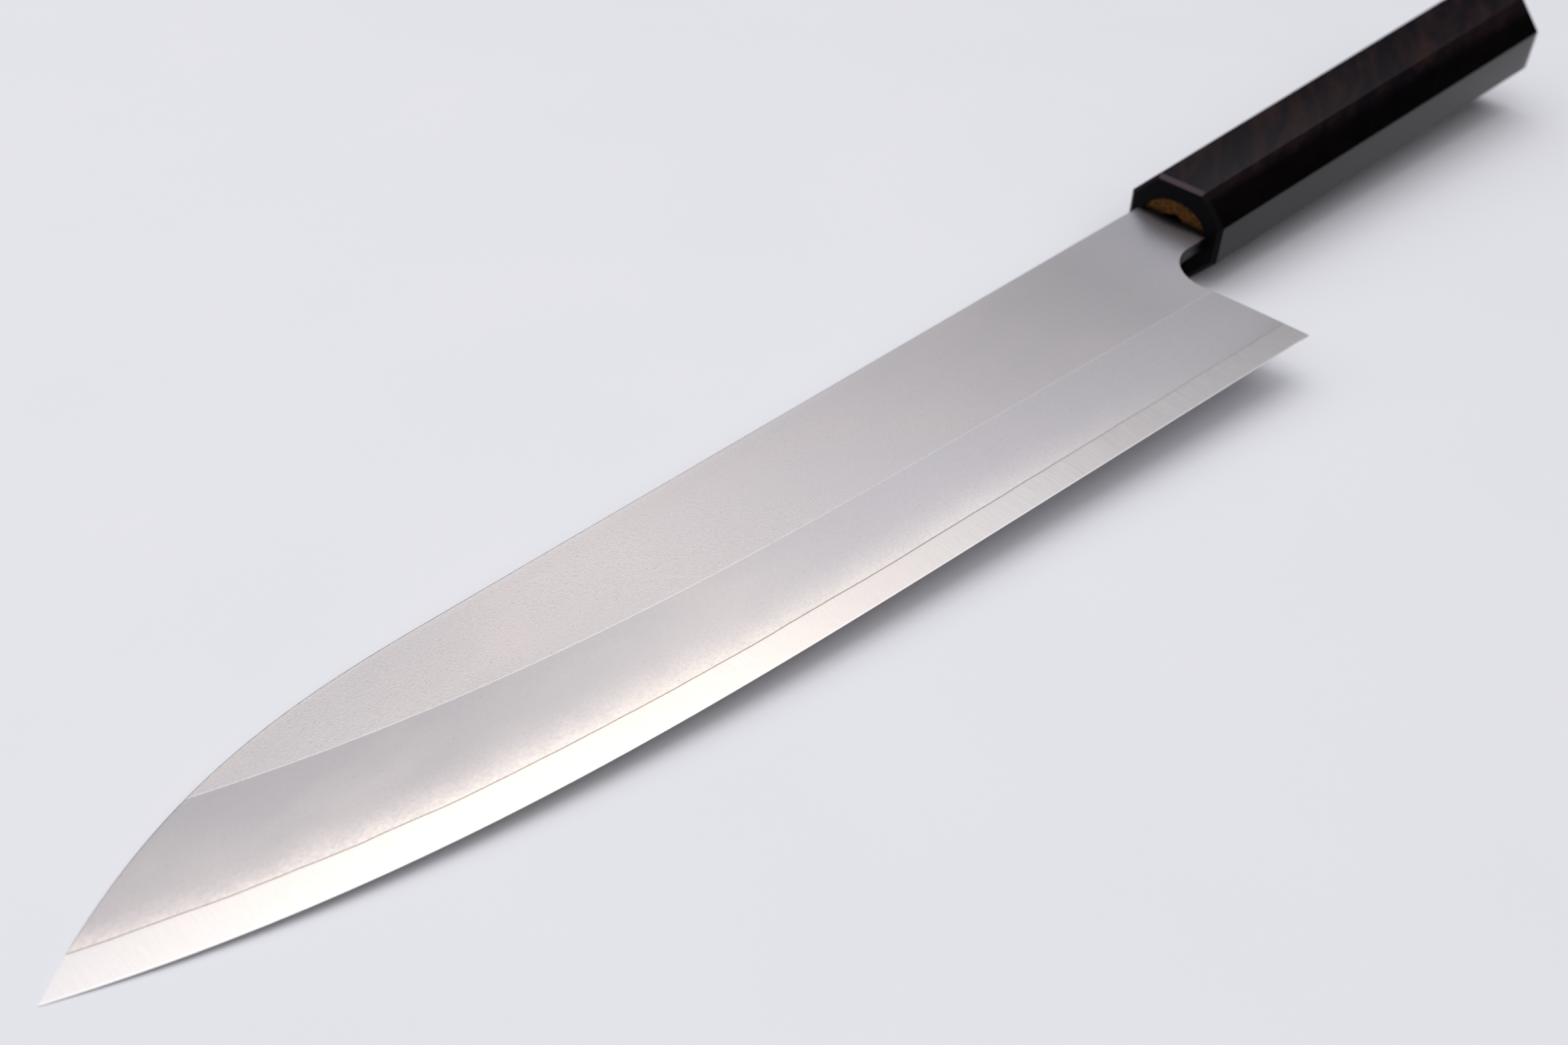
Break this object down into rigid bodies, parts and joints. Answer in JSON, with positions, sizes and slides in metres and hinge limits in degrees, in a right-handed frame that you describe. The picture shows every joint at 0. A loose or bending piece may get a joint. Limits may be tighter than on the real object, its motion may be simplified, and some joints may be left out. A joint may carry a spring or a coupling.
{
  "type": "chef knife",
  "caption": "Wa-gyuto chef knife: three-layer steel blade with a wide bevel and hidden tang, set in an oval wood insert inside a tapered octagonal dark wood handle.",
  "frame": {"origin": "centre of the handle's flat butt face, in the blade's middle plane", "axes": "-X along the handle's axis from the butt to the tip, -Y towards the cutting edge, +Z out of the blade's left side, so the knife lies on its side"},
  "size_m": [0.3962, 0.0552, 0.0242],
  "materials": {
    "core_steel": "bright hard steel, finely scratched square to the edge",
    "clad_steel": "soft grey stone-polished satin with a fine sandy grain",
    "ebony": "polished black-brown hardwood with reddish figure",
    "insert_wood": "raw orange-brown end grain, charred beside the tang",
    "resin": "dark cured resin"
  },
  "bodies": {
    "root": {"blade_core": "core_steel", "cladding_left": "clad_steel", "cladding_right": "clad_steel", "handle": "ebony", "handle_insert": "insert_wood", "tang_resin": "resin"}
  },
  "joints": []
}
